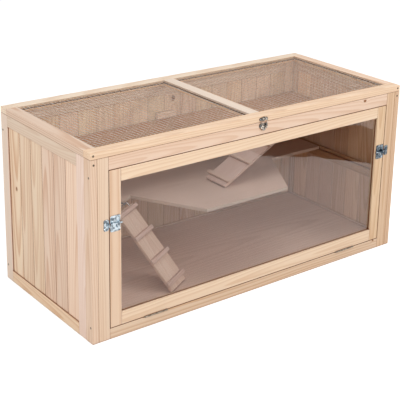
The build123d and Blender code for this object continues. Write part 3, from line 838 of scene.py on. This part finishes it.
def makeNetTree():
    tree, keys, take, give = openTree(
        "lidNet",
        [("Width", "Float"), ("Depth", "Float"), ("Centre", "Vector"), ("Pitch", "Float"), ("Wire", "Float")],
    )
    circle = step(tree, "GeometryNodeCurvePrimitiveCircle", Resolution=netSet["sides"], Radius=take["Wire"])
    ring = circle.outputs[0]
    layers = []
    for run, spaced, lift in (("Depth", "Width", 0.5), ("Width", "Depth", -0.5)):
        reach = calc(tree, "MULTIPLY", take[run], 0.5)
        back = calc(tree, "MULTIPLY", reach, -1.0)
        count = calc(tree, "FLOOR", calc(tree, "DIVIDE", take[spaced], take["Pitch"]))
        gap = calc(tree, "DIVIDE", take[spaced], count)
        first = calc(tree, "MULTIPLY", take[spaced], -0.5)
        height = calc(tree, "MULTIPLY", take["Wire"], lift)
        if run == "Depth":
            ends = join(tree, 0.0, back, height), join(tree, 0.0, reach, height)
            origin, offset = join(tree, first, 0.0, 0.0), join(tree, gap, 0.0, 0.0)
        else:
            ends = join(tree, back, 0.0, height), join(tree, reach, 0.0, height)
            origin, offset = join(tree, 0.0, first, 0.0), join(tree, 0.0, gap, 0.0)
        line = step(tree, "GeometryNodeCurvePrimitiveLine", Start=ends[0], End=ends[1]).outputs[0]
        wire = step(tree, "GeometryNodeCurveToMesh", Curve=line, Profile_Curve=ring, Fill_Caps=True)
        posts = calc(tree, "ADD", count, 1.0)
        row = step(tree, "GeometryNodeMeshLine", Count=posts, Start_Location=origin, Offset=offset).outputs[0]
        wires = step(tree, "GeometryNodeInstanceOnPoints", Points=row, Instance=wire.outputs[0])
        layers.append(wires.outputs[0])
    both = tree.nodes.new("GeometryNodeJoinGeometry")
    for layer in layers:
        tree.links.new(layer, both.inputs[0])
    placed = step(tree, "GeometryNodeTransform", Geometry=both.outputs[0], Translation=take["Centre"])
    return tree, keys, closeTree(tree, placed.outputs[0], give)


def makeNets():
    tree, keys, materialSocket = makeNetTree()

    def weave(name, low, high, pitch, wire, material):
        margin = Vector((2, 2, 0)) * (netSet["inset"] + wire)
        size = high - low - margin
        centre = (low + high) / 2
        values = {"Width": size.x, "Depth": size.y, "Centre": centre, "Pitch": pitch, "Wire": wire}
        materialSocket.default_value = metals[material]
        piece = settle(name, bpy.data.meshes.new(name), tree, keys, values)
        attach(piece, "lid")
        return piece

    frontEdge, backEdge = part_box("lid_front_rail")[1].y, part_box("lid_back_rail")[0].y
    barLeft, barRight = (corner.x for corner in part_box("lid_middle_bar"))
    windows = {
        "lid_left": (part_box("lid_left_rail")[1].x, barLeft),
        "lid_right": (barRight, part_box("lid_right_rail")[0].x),
    }
    for name, (left, right) in windows.items():
        low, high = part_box(name + "_net")
        net = weave(name + "_wires", low, high, netSet["pitch"], netSet["wire"], "netWire")
        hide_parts(name + "_net")
        # painted shadow: a thick dark wire along the frame, standing in for the shadow gap where the net meets
        # it
        low = Vector((left, frontEdge, low.z)) - netSet["shadowWireDrop"]
        high = Vector((right, backEdge, high.z)) - netSet["shadowWireDrop"]
        weave(name + "_edge_wire", low, high, netSet["shadowWirePitch"], netSet["shadowWire"], "shadowGapWire")


makeNets()
print("nets woven")


# screws: one head with a cross recess, set on points

screwSet = {
    "dome": {"rise": 0.24, "crossDepth": 0.34},  # shares of the head's radius
    "flush": {"rise": 0.04, "crossDepth": 0.03},
    "profile": [(0.68, 1.0), (0.92, 0.6), (1.0, 0.0)],  # across and up, in shares of radius and rise
    "sink": 0.3,
    "crossReach": 0.55,
    "crossWidth": 0.13,
    "timberHead": 0.0032,
    "plateHead": 0.0023,
    "sheet": 0.001,  # thickness of the plates
    "leaf": 0.0008,
    "spin": 2.399,  # turn from one screw to the next
}
screwPlaces = {  # distances from the edges of the piece that is screwed
    "postEdge": 0.010,
    "postTop": 0.0145,
    "postHeights": (-0.0505, 0.047),
    "lidEdge": 0.009,
    "hinge": (0.012, 0.039, 0.066),
    "hingeTop": 0.0067,
    "keeper": 0.0035,
    "clasp": 0.0042,
    "claspBase": 0.007,
    "claspStrike": 0.0065,
    "boltPlate": (0.006, 0.026),
    "boltEdge": 0.005,
}


def makeHead(name):
    reach, width, sink = (screwSet[key] for key in ("crossReach", "crossWidth", "sink"))
    rise, depth = screwSet[name]["rise"], screwSet[name]["crossDepth"]
    quarter = [(reach, -width), (reach, width), (width, width)]
    cross = []
    for turn in range(4):
        c, s = round(math.cos(turn * math.pi / 2)), round(math.sin(turn * math.pi / 2))
        cross += [(x * c - y * s, x * s + y * c) for x, y in quarter]
    build = bmesh.new()
    rings = [[build.verts.new((x, y, height)) for x, y in cross] for height in (rise - depth, rise)]
    angles = [math.atan2(y, x) for x, y in cross]
    outside = [(size, rise * share) for size, share in screwSet["profile"]] + [(1.0, -sink)]
    for size, height in outside:
        rings.append([build.verts.new((size * math.cos(a), size * math.sin(a), height)) for a in angles])
    build.faces.new(rings[0])
    for inner, outer in zip(rings, rings[1:]):
        for i in range(len(inner)):
            j = (i + 1) % len(inner)
            build.faces.new((inner[i], outer[i], outer[j], inner[j]))
    build.faces.new(list(reversed(rings[-1])))
    bmesh.ops.recalc_face_normals(build, faces=build.faces)
    mesh = bpy.data.meshes.new(name + "Head")
    build.to_mesh(mesh)
    build.free()
    return bpy.data.objects.new(name + "Head", mesh)


def makeScrewTree():
    tree, keys, take, give = openTree("screwsOnPoints", [("Head", "Object"), ("Size", "Float")])
    facing = step(tree, "GeometryNodeInputNamedAttribute", Name="facing")
    facing.data_type = "FLOAT_VECTOR"
    spin = step(tree, "GeometryNodeInputNamedAttribute", Name="spin")
    aim = tree.nodes.new("FunctionNodeAlignRotationToVector")
    aim.axis = "Z"
    plug(tree, aim.inputs["Vector"], facing.outputs["Attribute"])
    roll = step(tree, "FunctionNodeAxisAngleToRotation", Angle=spin.outputs["Attribute"])
    turned = tree.nodes.new("FunctionNodeRotateRotation")
    turned.rotation_space = "LOCAL"
    plug(tree, turned.inputs[0], aim.outputs[0])
    plug(tree, turned.inputs[1], roll.outputs[0])
    head = step(tree, "GeometryNodeObjectInfo", Object=take["Head"]).outputs["Geometry"]
    heads = step(
        tree, "GeometryNodeInstanceOnPoints", Points=take["Geometry"], Instance=head,
        Rotation=turned.outputs[0], Scale=take["Size"],
    ).outputs[0]
    return tree, keys, closeTree(tree, heads, give)


def inBox(node, *insets):
    # a distance from the low side of the node's box, or from its high side where it is negative
    low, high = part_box(node)
    return Vector([high[i] + d if math.copysign(1, d) < 0 else low[i] + d for i, d in enumerate(insets)])


def makeScrews():
    heads = {name: makeHead(name) for name in ("dome", "flush")}
    tree, keys, materialSocket = makeScrewTree()

    def drive(name, body, head, size, material, spots):
        mesh = bpy.data.meshes.new(name + "Spots")
        mesh.from_pydata([place for place, _ in spots], [], [])
        mesh.attributes.new("facing", "FLOAT_VECTOR", "POINT")
        mesh.attributes.new("spin", "FLOAT", "POINT")
        for i, (_, normal) in enumerate(spots):
            mesh.attributes["facing"].data[i].vector = normal
            mesh.attributes["spin"].data[i].value = (i * screwSet["spin"]) % math.pi
        materialSocket.default_value = metals[material]
        piece = settle(name, mesh, tree, keys, {"Head": heads[head], "Size": screwSet[size]})
        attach(piece, body)

    front, back, left, right = (0, -1, 0), (0, 1, 0), (-1, 0, 0), (1, 0, 0)
    sheet, leaf = screwSet["sheet"], screwSet["leaf"]

    post, edge = screwPlaces["postEdge"], screwPlaces["lidEdge"]
    timber = []
    for side, face, outer in (("left", left, 0.0), ("right", right, -0.0)):
        timber.append((inBox(side + "_corner_post", post, 0.0, -screwPlaces["postTop"]), front))
        for z in screwPlaces["postHeights"]:
            timber.append((inBox(side + "_corner_post", outer, post, z), face))
            timber.append((inBox(side + "_back_stile", outer, -post, z), face))
    drive("case_screws", "case", "flush", "timberHead", "screwSteel", timber)
    lid = [(inBox("lid_front_rail", x, 0.0, -edge), front) for x in (edge, -edge)]
    lid += [(inBox("lid_back_rail", x, -0.0, -edge), back) for x in (edge, -edge)]
    drive("lid_screws", "lid", "flush", "timberHead", "screwSteel", lid)

    keeper, clasp, bolt, top = (screwPlaces[key] for key in ("keeper", "clasp", "boltEdge", "hingeTop"))
    hingeX = [s * d for s in (1, -1) for d in screwPlaces["hinge"]]
    plateX = [s * d for s in (1, -1) for d in screwPlaces["boltPlate"]]
    case = [(inBox("bolt_keepers", x, -sheet, z), front) for x in (keeper, -keeper) for z in (bolt, -bolt)]
    case += [(inBox("clasp_base", x, -sheet, -screwPlaces["claspBase"]), front) for x in (clasp, -clasp)]
    lidLeaf = [inBox("lid_hinge_leaves", x, leaf, -top) for x in hingeX]
    leafDrop = 2 * (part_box("lid_back_rail")[0].z - inBox("lid_hinge_leaves", 0, 0, -top).z)
    case += [(place + Vector((0, 0, leafDrop)), back) for place in lidLeaf]
    drive("case_plate_screws", "case", "dome", "plateHead", "zincPlate", case)
    lid = [(place, back) for place in lidLeaf]
    lid += [(inBox("clasp_strike", x, -sheet, screwPlaces["claspStrike"]), front) for x in (clasp, -clasp)]
    drive("lid_plate_screws", "lid", "dome", "plateHead", "zincPlate", lid)
    door = [(inBox("bolt_plates", x, -sheet, z), front) for x in plateX for z in (bolt, -bolt)]
    drive("door_plate_screws", "door", "dome", "plateHead", "zincPlate", door)


makeScrews()
print("screws driven")
